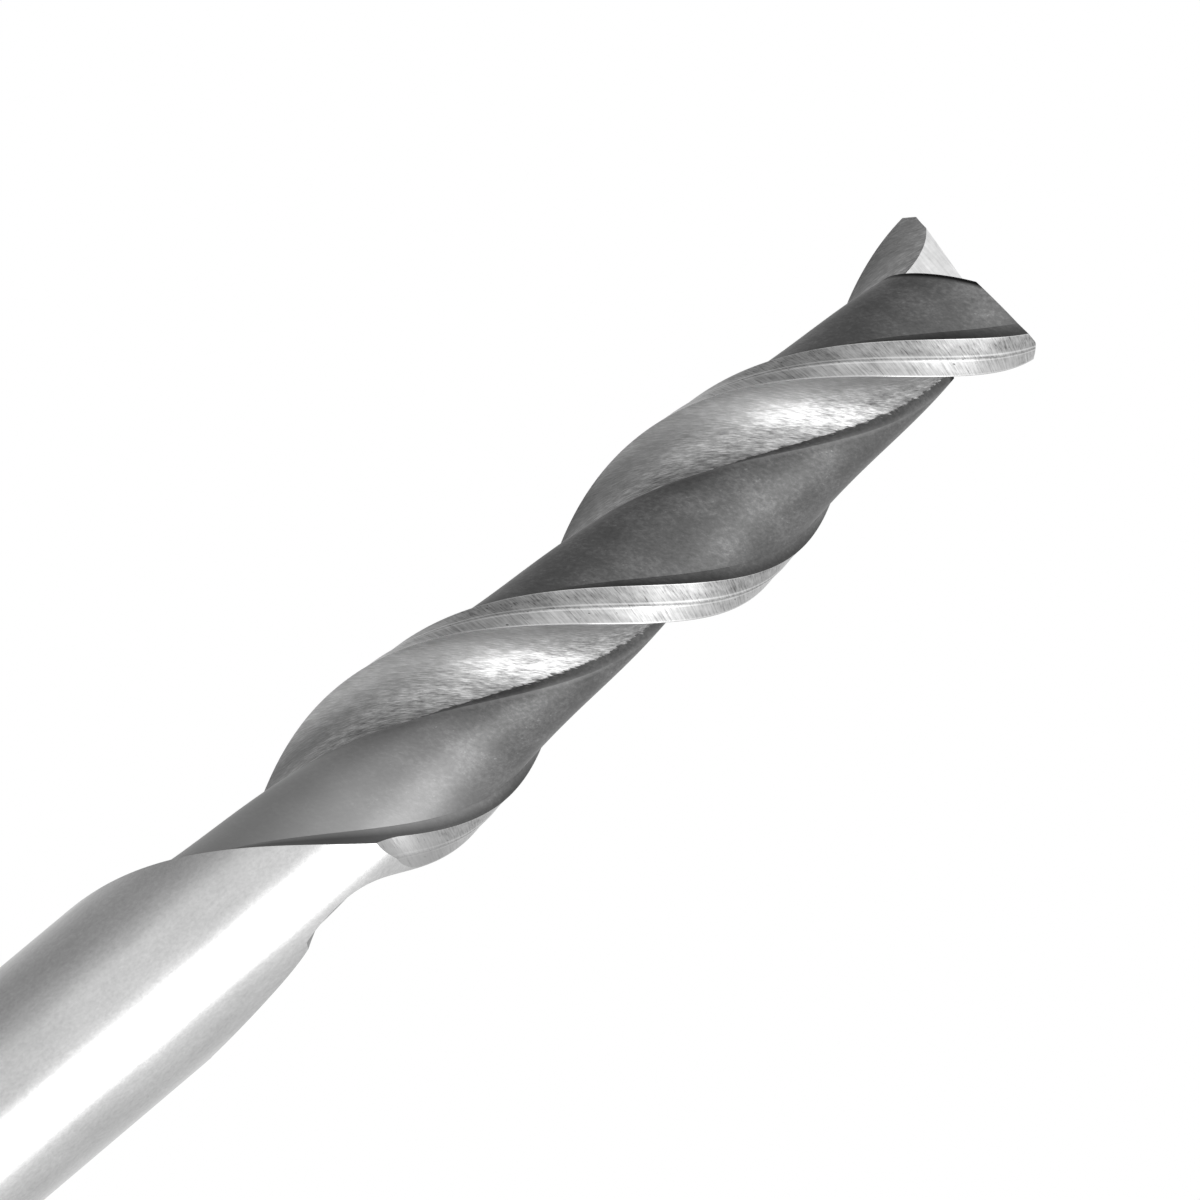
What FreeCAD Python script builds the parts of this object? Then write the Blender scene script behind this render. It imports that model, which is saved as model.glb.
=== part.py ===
import FreeCAD, Part
import Sketcher
import math
import os

from FreeCAD import Placement, Rotation, Vector

# A two-flute end mill with a plain round shank, ground from one bar.
# It stands on its shank's end face: +Z runs along the axis to the cutting end, and the origin is the centre
# of that face. Angles "behind" are degrees clockwise from a cutting edge, as seen from the cutting end.

doc = FreeCAD.newDocument("end_mill_model")

# Driving dimensions, in millimetres and degrees

sheet = doc.addObject("Spreadsheet::Sheet", "sizes")
DRIVING = [
    ("Cutter_diameter", 11.96, "diameter over the cutting edges, a running fit under the shank's"),
    ("Shank_diameter", 12.0, "diameter of the plain shank"),
    ("Overall_length", 110.0, "shank end to cutting end"),
    ("Shank_length", 42.0, "plain shank, up to where the flutes fade out"),
    ("Shank_easing", 1.5, "length over which the shank eases to the cutter's diameter"),
    ("Shank_chamfer", 0.8, "chamfer on the shank's end"),
    ("Flute_length", 50.3, "cutting end to where the second flute starts to rise, at the rake side"),
    ("Flute_stagger", 2.0, "how much further down the first flute was ground"),
    ("Relief_length", 50.9, "cutting end to where the land relief starts to rise"),
    ("Helix_angle", 38.1, "angle of the cutting edges to the axis"),
    ("Margin_width", 0.06, "round strip left at each cutting edge"),
    ("Primary_width", 1.26, "first relief strip, along the circumference"),
    ("Primary_depth", 0.17, "drop at the back of the first strip"),
    ("Secondary_width", 1.58, "second relief strip, along the circumference"),
    ("Heel_depth", 0.375, "drop at the back of the second strip, at the heel"),
    ("Heel_wall_width", 0.63, "step behind the heel, along the circumference"),
    ("Heel_wall_depth", 1.04, "depth of the foot of that step"),
    ("Back_depth_1", 1.42, "depth of the convex back, a quarter of the way to the ridge"),
    ("Back_depth_2", 1.65, "depth of the back, half way"),
    ("Back_depth_3", 1.82, "depth of the back, three quarters of the way"),
    ("Ridge_depth", 2.17, "depth of the ridge where the back drops into the groove"),
    ("Ridge_angle", 127.0, "ridge, behind the cutting edge"),
    ("Groove_wall_angle", 6.0, "angle taken by the wall below the ridge"),
    ("Web_thickness", 6.18, "core left between the two grooves"),
    ("Radial_rake", 0.0, "rake of the hollow-ground face at the cutting edge"),
    ("Runout_radius", 3.4, "rise of the flute's floor where it ends, in the axial plane"),
    ("Runout_skew", 43.5, "slant of that end across the flute"),
    ("Relief_exit_radius", 4.0, "rise of the relief strips where they end"),
    ("Corner_chamfer", 0.55, "chamfer on the outer corner of each tooth"),
    ("Dish_angle", 5.5, "fall of the end edges towards the axis"),
    ("End_primary_width", 2.1, "first relief of the end teeth"),
    ("End_primary_angle", 8.0, "slope of that relief"),
    ("End_secondary_angle", 16.0, "slope of the relief behind it"),
    ("Gash_angle", 36.0, "slope of the end gash's floor along its tooth"),
    ("Gash_depth", 2.15, "depth of that floor at the axis"),
    ("Gash_floor_tilt", 6.0, "tilt of that floor across the tooth"),
    ("Gash_turn", 1.5, "turn of the gash's face away from the end edge's radius"),
    ("Gash_offset", 0.12, "distance of that face ahead of the axis"),
]
for row, (alias, value, note) in enumerate(DRIVING, start=1):
    sheet.set("A%d" % row, note)
    sheet.set("B%d" % row, str(value))
    sheet.setAlias("B%d" % row, alias)
doc.recompute()


def size(alias):
    """The value of a cell of the sheet."""
    return float(sheet.get(alias))


TEETH = 2
TOOTH_PITCH = 360.0 / TEETH
radius = size("Cutter_diameter") / 2
length = size("Overall_length")
lead = math.pi * size("Cutter_diameter") / math.tan(math.radians(size("Helix_angle")))
web_radius = size("Web_thickness") / 2
OVERRUN = 2.0                    # how far a cutter passes beyond the bar
SECTION_STEP = 3.2               # spacing of a helical cutter's sections
RUNOUT_STEP = 0.9                # their spacing where the flute ends
BACK_POINTS = 9                  # points along the convex back
RAKE_POINTS = 10                 # points along the hollow rake face
CLEAR = 1.25 * radius            # a radius that is clear of the bar
WALL_REACH = 2.4                 # the heel wall is drawn so many times its own length, out of the bar
RAKE_REACH = 0.25                # the rake face is drawn this share past the cutting edge
STRIP_REACH = 0.3                # each relief strip is drawn this share past its outer border
FLUTE_OVER_RISE = 1.06           # a flute's floor rises so many times the flute's depth
RELIEF_OVER_RISE = 1.4           # the relief strips rise so many times the heel's depth
RELIEF_EXIT_SECTIONS = 4         # sections of the relief cutter over that rise
WAY_OUT = 3                      # sections outside the bar that bring the last one square to the axis


def width_angle(width):
    """The angle that a width along the cutting circle takes."""
    return math.degrees(width / radius)


def behind_point(r, behind):
    """A point of a section, at a radius and an angle behind the cutting edge."""
    turn = math.radians(behind)
    return (r * math.cos(turn), -r * math.sin(turn))


# Section of a flute, from the heel of one tooth to the cutting edge of the next

primary_end = width_angle(size("Margin_width") + size("Primary_width"))
heel = primary_end + width_angle(size("Secondary_width"))
wall_foot = heel + width_angle(size("Heel_wall_width"))
ridge = size("Ridge_angle")
groove_edge = ridge + size("Groove_wall_angle")


def rake_arc(count):
    """The hollow rake face: an arc that touches the web and ends at the next cutting edge, as (r, behind)."""
    rake = math.radians(size("Radial_rake"))
    arc = (radius ** 2 - web_radius ** 2) / (2 * (web_radius + radius * math.sin(rake)))
    centre_x = radius - arc * math.sin(rake)
    centre_y = arc * math.cos(rake)
    centre_r = math.hypot(centre_x, centre_y)
    centre_turn = math.degrees(math.atan2(centre_y, centre_x))
    ahead_of_edge = TOOTH_PITCH - groove_edge
    off = math.radians(ahead_of_edge - centre_turn)
    start_r = centre_r * math.cos(off) - math.sqrt(arc ** 2 - (centre_r * math.sin(off)) ** 2)
    start = (start_r * math.cos(math.radians(ahead_of_edge)), start_r * math.sin(math.radians(ahead_of_edge)))
    first = math.atan2(start[1] - centre_y, start[0] - centre_x)
    last = math.atan2(0.0 - centre_y, radius - centre_x)
    beyond = RAKE_REACH * (last - first)
    points = []
    for i in range(count + 1):
        turn = first + (last + beyond - first) * i / count
        x = centre_x + arc * math.cos(turn)
        y = centre_y + arc * math.sin(turn)
        points.append((math.hypot(x, y), TOOTH_PITCH - math.degrees(math.atan2(y, x))))
    return points


def heel_wall():
    """The straight step behind the heel, from outside the bar to its foot, as (r, behind)."""
    foot = behind_point(radius - size("Heel_wall_depth"), wall_foot)
    top = behind_point(radius - size("Heel_depth"), heel)
    x = foot[0] + WALL_REACH * (top[0] - foot[0])
    y = foot[1] + WALL_REACH * (top[1] - foot[1])
    return [(math.hypot(x, y), math.degrees(math.atan2(-y, x))), (radius - size("Heel_wall_depth"), wall_foot)]


def back_curve():
    """The convex back, from the foot of the step to the ridge, as (r, behind)."""
    depths = [size("Heel_wall_depth"), size("Back_depth_1"), size("Back_depth_2"), size("Back_depth_3"),
              size("Ridge_depth")]
    span = (ridge - wall_foot) / (len(depths) - 1)
    places = [behind_point(radius - depth, wall_foot + i * span) for i, depth in enumerate(depths)]
    curve = Part.BSplineCurve()
    curve.interpolate(Points=[Vector(x, y, 0) for x, y in places])
    points = []
    for i in range(BACK_POINTS):
        share = i / (BACK_POINTS - 1)
        place = curve.value(curve.FirstParameter + share * (curve.LastParameter - curve.FirstParameter))
        points.append((math.hypot(place.x, place.y), math.degrees(math.atan2(-place.y, place.x)) % 360))
    return points


back = back_curve()
rake_face = rake_arc(RAKE_POINTS)
flute_edges = [heel_wall(), back, [back[-1], rake_face[0]], rake_face]


def section_edge(points):
    """One edge of a section: a line or a smooth curve through (r, behind, below) points of the helix."""
    corners = []
    for r, behind, below in points:
        x, y = behind_point(r, behind + 360.0 * below / lead)
        corners.append(Vector(x, y, length - below))
    if len(corners) == 2:
        return Part.makeLine(corners[0], corners[1])
    curve = Part.BSplineCurve()
    curve.interpolate(Points=corners, Parameters=[float(i) for i in range(len(corners))])
    return curve.toShape()


def flute_section(level, lean, rise):
    """The section of a flute, closed round the outside of the bar. Its heel side lies further down than its rake
    side, by the lean's share of the slant at the flute's end, and its floor is raised."""
    edges = [[(r + rise, behind) for r, behind in points] for points in flute_edges]
    start = edges[0][0]
    end = edges[-1][-1]
    outside = 2 * CLEAR + rise
    middle = (start[1] + end[1]) / 2
    edges.append([end, (outside, end[1])])
    edges.append([(outside, end[1]), (outside, middle)])
    edges.append([(outside, middle), (outside, start[1])])
    edges.append([(outside, start[1]), start])
    slant = lean * math.tan(math.radians(size("Runout_skew"))) * radius
    placed = []
    for points in edges:
        placed.append([(r, behind, level + slant * math.radians(TOOTH_PITCH - behind)) for r, behind in points])
    return Part.Wire([section_edge(points) for points in placed])


def relief_section(below):
    """The section of a cutter that grinds the two relief strips behind a cutting edge."""
    run = max(0.0, below - size("Relief_length"))
    rise = run ** 2 / (2 * size("Relief_exit_radius"))
    margin = width_angle(size("Margin_width"))
    front = behind_point(radius, margin)
    middle = behind_point(radius - size("Primary_depth"), primary_end)
    back = behind_point(radius - size("Heel_depth"), heel)
    before = (front[0] + STRIP_REACH * (front[0] - middle[0]), front[1] + STRIP_REACH * (front[1] - middle[1]))
    after = (back[0] + STRIP_REACH * (back[0] - middle[0]), back[1] + STRIP_REACH * (back[1] - middle[1]))
    corners = []
    for x, y in (before, middle, after):
        corners.append((math.hypot(x, y) + rise, math.degrees(math.atan2(-y, x)), below))
    corners.append((CLEAR, corners[2][1], below))
    corners.append((CLEAR, corners[0][1], below))
    return Part.Wire([section_edge([corners[i], corners[(i + 1) % len(corners)]]) for i in range(len(corners))])


def spaced(first, last, step):
    """Distances from first to last, evenly spaced at about a step."""
    count = max(1, math.ceil((last - first) / step))
    return [first + (last - first) * i / count for i in range(count + 1)]


def add_cutter(name, sections, tooth):
    """A helical cutter lofted through its sections, turned to its tooth."""
    cutter = doc.addObject("Part::Feature", "%s_%d" % (name, tooth + 1))
    cutter.Label = cutter.Name
    cutter.Shape = Part.makeLoft(sections, True, False)
    cutter.Placement = Placement(Vector(0, 0, 0), Rotation(Vector(0, 0, 1), tooth * TOOTH_PITCH))
    cutters.append(cutter)


def bind(item, **formulas):
    """Ties an object's properties to formulas on the sheet."""
    for name, formula in formulas.items():
        item.setExpression(name, formula)


def origin_plane(body, role):
    """A body's own origin plane."""
    return next(feature for feature in body.Origin.OriginFeatures if feature.Role == role)


def add_sketch(body, role, name):
    """An empty sketch on one of a body's origin planes."""
    sketch = body.newObject("Sketcher::SketchObject", name)
    sketch.AttachmentSupport = [(origin_plane(body, role), "")]
    sketch.MapMode = "FlatFace"
    return sketch


def add_outline(sketch, corners):
    """A closed outline of straight lines."""
    count = len(corners)
    for i in range(count):
        start = Vector(corners[i][0], corners[i][1], 0)
        end = Vector(corners[(i + 1) % count][0], corners[(i + 1) % count][1], 0)
        sketch.addGeometry(Part.LineSegment(start, end))
    for i in range(count):
        sketch.addConstraint(Sketcher.Constraint("Coincident", i, 2, (i + 1) % count, 1))


def drive(sketch, constraint, formula):
    """Adds a sketch dimension and ties it to the sheet."""
    index = sketch.addConstraint(constraint)
    bind(sketch, **{"Constraints[%d]" % index: formula})


def place_at_tooth(body, tooth, base, turns):
    """Puts a cutter at a tooth's corner: its base point and turns are those of the first tooth."""
    around = Rotation(Vector(0, 0, 1), tooth * TOOTH_PITCH)
    rotation = around
    for axis, angle in turns:
        rotation = rotation.multiply(Rotation(axis, angle))
    body.Placement = Placement(around.multVec(base), rotation)


Z_AXIS = Vector(0, 0, 1)
Y_AXIS = Vector(0, 1, 0)
cutters = []

# Blank: the bar turned to its diameters, with a chamfer at each end

blank = doc.addObject("PartDesign::Body", "blank")
profile = add_sketch(blank, "XZ_Plane", "blank_profile")
shank_radius = size("Shank_diameter") / 2
shank_chamfer = size("Shank_chamfer")
shank_end = size("Shank_length")
eased = shank_end + size("Shank_easing")
corner = size("Corner_chamfer")
add_outline(profile, [(0, 0), (shank_radius - shank_chamfer, 0), (shank_radius, shank_chamfer),
                      (shank_radius, shank_end), (radius, eased), (radius, length - corner),
                      (radius - corner, length), (0, length)])
profile.addConstraint(Sketcher.Constraint("Coincident", 0, 1, -1, 1))
for line in (0, 6):
    profile.addConstraint(Sketcher.Constraint("Horizontal", line))
for line in (2, 4, 7):
    profile.addConstraint(Sketcher.Constraint("Vertical", line))
drive(profile, Sketcher.Constraint("DistanceX", -1, 1, 1, 2, shank_radius), "sizes.Shank_diameter / 2")
drive(profile, Sketcher.Constraint("DistanceX", 1, 1, 1, 2, shank_chamfer), "sizes.Shank_chamfer")
drive(profile, Sketcher.Constraint("DistanceY", 1, 1, 1, 2, shank_chamfer), "sizes.Shank_chamfer")
drive(profile, Sketcher.Constraint("DistanceY", -1, 1, 2, 2, shank_end), "sizes.Shank_length")
drive(profile, Sketcher.Constraint("DistanceY", 3, 1, 3, 2, eased - shank_end), "sizes.Shank_easing")
drive(profile, Sketcher.Constraint("DistanceX", -1, 1, 3, 2, radius), "sizes.Cutter_diameter / 2")
drive(profile, Sketcher.Constraint("DistanceX", 5, 2, 5, 1, corner), "sizes.Corner_chamfer")
drive(profile, Sketcher.Constraint("DistanceY", 5, 1, 5, 2, corner), "sizes.Corner_chamfer")
drive(profile, Sketcher.Constraint("DistanceY", -1, 1, 6, 2, length), "sizes.Overall_length")
bar = blank.newObject("PartDesign::Revolution", "bar")
bar.Profile = profile
bar.ReferenceAxis = (profile, ["V_Axis"])
bar.Angle = 360
blank.Tip = bar
doc.recompute()

# Flutes: helical grooves whose floor rises out of the bar above the shank

def flute_sections(flute_length):
    """The sections of a flute that starts to rise at a distance below the cutting end."""
    sections = []
    for level in spaced(-OVERRUN, flute_length, SECTION_STEP):
        share = max(0.0, level / flute_length)
        sections.append(flute_section(level, share * (2 - share), 0.0))
    full_rise = FLUTE_OVER_RISE * (radius - web_radius)
    rise_run = math.sqrt(2 * size("Runout_radius") * full_rise)
    for run in spaced(0.0, rise_run, RUNOUT_STEP)[1:]:
        sections.append(flute_section(flute_length + run, 1.0, run ** 2 / (2 * size("Runout_radius"))))
    for i in range(1, WAY_OUT + 1):
        level = flute_length + rise_run + i * radius
        sections.append(flute_section(level, 1.0 - i / WAY_OUT, full_rise + i * radius))
    return sections


add_cutter("flute_cutter", flute_sections(size("Flute_length") + size("Flute_stagger")), 0)
add_cutter("flute_cutter", flute_sections(size("Flute_length")), 1)

# Land relief: two flat strips behind each cutting edge, ground along the helix

relief_rise = math.sqrt(2 * size("Relief_exit_radius") * size("Heel_depth") * RELIEF_OVER_RISE)
relief_levels = spaced(-OVERRUN, size("Relief_length"), SECTION_STEP)
relief_levels += spaced(size("Relief_length"), size("Relief_length") + relief_rise,
                        relief_rise / RELIEF_EXIT_SECTIONS)[1:]
for tooth in range(TEETH):
    add_cutter("relief_cutter", [relief_section(below) for below in relief_levels], tooth)

# End gash: a corner cut ahead of each tooth's end edge, down and outwards from the axis

for tooth in range(TEETH):
    gash = doc.addObject("PartDesign::Body", "gash_cutter_%d" % (tooth + 1))
    outline = add_sketch(gash, "YZ_Plane", "gash_outline_%d" % (tooth + 1))
    reach = 2 * radius
    lift = reach * math.tan(math.radians(size("Gash_floor_tilt")))
    add_outline(outline, [(0, 0), (reach, lift), (reach, reach), (0, reach)])
    outline.addConstraint(Sketcher.Constraint("Coincident", 0, 1, -1, 1))
    outline.addConstraint(Sketcher.Constraint("Vertical", 1))
    outline.addConstraint(Sketcher.Constraint("Horizontal", 2))
    outline.addConstraint(Sketcher.Constraint("Vertical", 3))
    drive(outline, Sketcher.Constraint("DistanceX", 0, 1, 1, 2, reach), "sizes.Cutter_diameter")
    drive(outline, Sketcher.Constraint("DistanceY", 0, 1, 2, 2, reach), "sizes.Cutter_diameter")
    drive(outline, Sketcher.Constraint("Angle", -1, 1, 0, 1, math.radians(size("Gash_floor_tilt"))),
          "sizes.Gash_floor_tilt")
    wedge = gash.newObject("PartDesign::Pad", "gash_wedge_%d" % (tooth + 1))
    wedge.Profile = outline
    wedge.Midplane = True
    bind(wedge, Length="3 * sizes.Cutter_diameter")
    place_at_tooth(gash, tooth, Vector(0, size("Gash_offset"), length - size("Gash_depth")),
                   [(Z_AXIS, size("Gash_turn")), (Y_AXIS, size("Gash_angle"))])
    cutters.append(gash)

# End relief: two slopes behind each end edge, which itself falls from the corner towards the axis

for tooth in range(TEETH):
    relief = doc.addObject("PartDesign::Body", "end_relief_cutter_%d" % (tooth + 1))
    outline = add_sketch(relief, "YZ_Plane", "end_relief_outline_%d" % (tooth + 1))
    ahead = size("Gash_offset") + radius * math.tan(math.radians(size("Gash_turn")))
    first = size("End_primary_width")
    slope = math.tan(math.radians(size("End_primary_angle")))
    reach = 2 * radius
    drop = first * slope + (reach - first) * math.tan(math.radians(size("End_secondary_angle")))
    add_outline(outline, [(ahead, ahead * slope), (-first, -first * slope), (-reach, -drop), (-reach, reach),
                          (ahead, reach)])
    outline.addConstraint(Sketcher.Constraint("PointOnObject", -1, 1, 0))
    outline.addConstraint(Sketcher.Constraint("Vertical", 2))
    outline.addConstraint(Sketcher.Constraint("Horizontal", 3))
    outline.addConstraint(Sketcher.Constraint("Vertical", 4))
    drive(outline, Sketcher.Constraint("DistanceX", -1, 1, 0, 1, ahead),
          "sizes.Gash_offset + sizes.Cutter_diameter / 2 * tan(sizes.Gash_turn)")
    drive(outline, Sketcher.Constraint("DistanceX", 0, 2, -1, 1, first), "sizes.End_primary_width")
    drive(outline, Sketcher.Constraint("DistanceY", 0, 2, -1, 1, first * slope),
          "sizes.End_primary_width * tan(sizes.End_primary_angle)")
    drive(outline, Sketcher.Constraint("DistanceX", 1, 2, -1, 1, reach), "sizes.Cutter_diameter")
    drive(outline, Sketcher.Constraint("DistanceY", 1, 2, -1, 1, drop),
          "sizes.End_primary_width * tan(sizes.End_primary_angle)"
          " + (sizes.Cutter_diameter - sizes.End_primary_width) * tan(sizes.End_secondary_angle)")
    drive(outline, Sketcher.Constraint("DistanceY", -1, 1, 3, 2, reach), "sizes.Cutter_diameter")
    block = relief.newObject("PartDesign::Pad", "end_relief_block_%d" % (tooth + 1))
    block.Profile = outline
    bind(block, Length="sizes.Cutter_diameter")
    fall = (radius - size("Corner_chamfer")) * math.tan(math.radians(size("Dish_angle")))
    place_at_tooth(relief, tooth, Vector(0, 0, length - fall), [(Y_AXIS, -size("Dish_angle"))])
    cutters.append(relief)

doc.recompute()

# The end mill: the blank less every cutter

solid = blank
for count, cutter in enumerate(cutters, start=1):
    cut = doc.addObject("Part::Cut", "cut_%d" % count)
    cut.Base = solid
    cut.Tool = cutter
    cut.Refine = False
    solid = cut
solid.Label = "end_mill"
doc.recompute()

PARTS = [solid]

for item in doc.Objects:
    if "Invalid" in item.State or "Error" in item.State:
        raise RuntimeError("%s failed: %s" % (item.Name, item.State))
for part in PARTS:
    if part.Shape.isNull() or not part.Shape.isValid() or len(part.Shape.Solids) != 1:
        raise RuntimeError("%s is not one valid solid" % part.Label)

os.makedirs("parts", exist_ok=True)
for part in PARTS:
    part.Shape.exportStep("parts/%s.step" % part.Label)
    box = part.Shape.BoundBox
    print("%s: %.1f mm3, %.2f to %.2f mm high, %d faces"
          % (part.Label, part.Shape.Volume, box.ZMin, box.ZMax, len(part.Shape.Faces)))
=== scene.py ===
import math

import bmesh
import bpy
import numpy as np
from mathutils import Matrix, Vector


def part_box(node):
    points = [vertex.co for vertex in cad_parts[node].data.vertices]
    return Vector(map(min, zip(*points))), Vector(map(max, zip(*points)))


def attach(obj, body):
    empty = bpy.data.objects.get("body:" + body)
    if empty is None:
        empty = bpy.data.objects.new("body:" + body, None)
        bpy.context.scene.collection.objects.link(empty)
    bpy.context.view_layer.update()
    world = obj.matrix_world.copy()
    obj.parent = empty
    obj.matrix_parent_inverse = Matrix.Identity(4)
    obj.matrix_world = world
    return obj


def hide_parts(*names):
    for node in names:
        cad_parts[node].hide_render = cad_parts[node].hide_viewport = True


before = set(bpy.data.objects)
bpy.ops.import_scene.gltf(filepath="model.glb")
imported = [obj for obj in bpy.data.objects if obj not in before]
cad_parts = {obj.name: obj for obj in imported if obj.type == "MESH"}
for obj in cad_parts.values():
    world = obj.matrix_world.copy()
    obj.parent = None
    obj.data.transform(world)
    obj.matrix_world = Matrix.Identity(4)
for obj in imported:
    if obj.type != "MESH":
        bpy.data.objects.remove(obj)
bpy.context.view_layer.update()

# A two-flute end mill of ground high-speed steel, standing on its shank. +Z runs to the cutting end.
# The mesh is made in millimetres and turned to metres by MM when it is finished. Angles "behind" are
# degrees clockwise from a cutting edge, seen from the cutting end, and "below" is the distance down from
# that end.

MM = 0.001
low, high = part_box("end_mill")
LENGTH = (high.z - low.z) / MM
SHANK_RADIUS = 6.0
SHANK_LENGTH = 42.0
SHANK_CHAMFER = 0.8
SHANK_STEP = 1.5                 # length over which the shank eases to the cutter's diameter
RADIUS = 5.98
CORNER_CHAMFER = 0.55
TEETH = 2
TOOTH_PITCH = 360.0 / TEETH
HELIX_ANGLE = 38.1
LEAD = 2 * math.pi * RADIUS / math.tan(math.radians(HELIX_ANGLE))

MARGIN_WIDTH = 0.06
PRIMARY_WIDTH, PRIMARY_DEPTH = 1.26, 0.17
SECONDARY_WIDTH, HEEL_DEPTH = 1.58, 0.375
RELIEF_LENGTH, RELIEF_EXIT_RADIUS = 50.9, 4.0
HEEL_WALL_WIDTH, HEEL_WALL_DEPTH = 0.63, 1.04
BACK_DEPTHS = (HEEL_WALL_DEPTH, 1.42, 1.65, 1.82, 2.17)     # evenly spaced from the wall's foot to the ridge
RIDGE_ANGLE, GROOVE_WALL_ANGLE = 127.0, 6.0
WEB_RADIUS = 3.09
FLUTE_LENGTHS = (52.3, 50.3)      # of the first and the second flute
RUNOUT_RADIUS, RUNOUT_SKEW = 3.4, 43.5

GASH_ANGLE, GASH_DEPTH, GASH_FLOOR_TILT = 36.0, 2.15, 6.0
GASH_TURN, GASH_OFFSET = 1.5, 0.12
DISH_ANGLE = 5.5
GASH_FRAME = (Matrix.Rotation(math.radians(GASH_TURN), 3, "Z")
              @ Matrix.Rotation(math.radians(GASH_ANGLE), 3, "Y"))
GASH_SHADOW_WIDTH = 0.38                 # width of the painted shadow line along the gash
END_PRIMARY_WIDTH, END_PRIMARY_ANGLE, END_SECONDARY_ANGLE = 2.1, 8.0, 16.0

BAR_SIDES = 512
SWEEP_STEP = 0.3                 # spacing of a helical cutter's rings
OVERRUN = 2.0                    # how far a cutter passes beyond the bar
FINE = 1e-4                      # what counts as the same place
HAIR = 0.004                     # keeps the planes of two cutters from coinciding
BAR_TURN = 0.33                  # keeps the bar's vertices, in degrees, off the cutters' planes
CLEAR = 1.7 * RADIUS             # a radius that is clear of the bar
FLUTE_REACH = 72.0               # how far down the flutes' cutters go
RELIEF_OVERRUN = 2.5             # how far the relief's cutters go beyond its length
OVER_RISE = 0.5                  # how far above the bar a cutter's floor may rise
WALL_STEPS = (2.4, 1.7, 1.2, 0.8, 0.4)         # shares of the heel wall, from above the bar to its foot
BACK_POINTS, RAKE_POINTS = 42, 46
RAKE_REACH = 0.25                # share of the rake's arc that goes on past the cutting edge
SHARP_ANGLE = 25.0               # borders steeper than this are left sharp


def width_angle(width):
    """The angle that a width along the cutting circle takes."""
    return math.degrees(width / RADIUS)


PRIMARY_END = width_angle(MARGIN_WIDTH + PRIMARY_WIDTH)
HEEL = PRIMARY_END + width_angle(SECONDARY_WIDTH)
WALL_FOOT = HEEL + width_angle(HEEL_WALL_WIDTH)
GROOVE_EDGE = RIDGE_ANGLE + GROOVE_WALL_ANGLE


def flute_outline():
    """A flute's section as (r, behind) points, from the heel wall's top round to the next cutting
    edge."""
    foot = (RADIUS - HEEL_WALL_DEPTH, WALL_FOOT)
    top = (RADIUS - HEEL_DEPTH, HEEL)
    foot_x, foot_y = foot[0] * math.cos(math.radians(foot[1])), foot[0] * math.sin(math.radians(foot[1]))
    top_x, top_y = top[0] * math.cos(math.radians(top[1])), top[0] * math.sin(math.radians(top[1]))
    points = []
    for share in WALL_STEPS:
        x, y = foot_x + share * (top_x - foot_x), foot_y + share * (top_y - foot_y)
        points.append((math.hypot(x, y), math.degrees(math.atan2(y, x)), "scale"))
    stations = np.linspace(WALL_FOOT, RIDGE_ANGLE, len(BACK_DEPTHS))
    depth = np.polyfit(stations - WALL_FOOT, BACK_DEPTHS, len(BACK_DEPTHS) - 1)
    for behind in np.linspace(WALL_FOOT, RIDGE_ANGLE, BACK_POINTS):
        points.append((RADIUS - float(np.polyval(depth, behind - WALL_FOOT)), float(behind), "scale"))
    arc = (RADIUS ** 2 - WEB_RADIUS ** 2) / (2 * WEB_RADIUS)
    centre_r, centre_turn = math.hypot(RADIUS, arc), math.degrees(math.atan2(arc, RADIUS))
    ahead = TOOTH_PITCH - GROOVE_EDGE
    off = math.radians(ahead - centre_turn)
    start_r = centre_r * math.cos(off) - math.sqrt(arc ** 2 - (centre_r * math.sin(off)) ** 2)
    ridge_r = points[-1][0]
    for share in (0.25, 0.5, 0.75):
        r = ridge_r + share * (start_r - ridge_r)
        points.append((r, RIDGE_ANGLE + share * GROOVE_WALL_ANGLE, "scale"))
    start_x, start_y = start_r * math.cos(math.radians(ahead)), start_r * math.sin(math.radians(ahead))
    first = math.atan2(start_y - arc, start_x - RADIUS)
    last = -math.pi / 2
    if first > 0:
        first -= 2 * math.pi
    beyond = RAKE_REACH * (last - first)
    for turn in np.linspace(first, last + beyond, RAKE_POINTS):
        x, y = RADIUS + arc * math.cos(turn), arc + arc * math.sin(turn)
        points.append((math.hypot(x, y), TOOTH_PITCH - math.degrees(math.atan2(y, x)), "rake"))
    return points


def section_length():
    """How far along the section, in millimetres from the cutting edge, each of its points lies, as
    (length, behind, r) up to the next cutting edge."""
    places = [(0.0, 0.0, RADIUS), (math.radians(HEEL) * RADIUS, HEEL, RADIUS - HEEL_DEPTH)]
    for r, behind, _ in flute_outline():
        length, last_behind, last_r = places[-1]
        if behind > last_behind and r <= RADIUS:
            turn = math.radians(behind - last_behind)
            step = math.sqrt(r * r + last_r ** 2 - 2 * r * last_r * math.cos(turn))
            places.append((length + step, behind, r))
    return np.array(places).T


SECTION_LENGTHS, SECTION_ANGLES, SECTION_RADII = section_length()
HEEL_PLACE, RIDGE_PLACE, GROUND_BORDER = np.interp((HEEL, RIDGE_ANGLE, GROOVE_EDGE),
                                                   SECTION_ANGLES, SECTION_LENGTHS)
EDGE_PLACE = float(SECTION_LENGTHS[-1])
RAKE_FROM = 160.0                # beyond this angle the rake rises steadily, and its radius tells the place


# Colours and nodes

def hex_colour(text):
    """A linear colour from an sRGB hex value."""
    values = [int(text[i:i + 2], 16) / 255 for i in (0, 2, 4)]
    return [v / 12.92 if v <= 0.04045 else ((v + 0.055) / 1.055) ** 2.4 for v in values] + [1.0]


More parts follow.
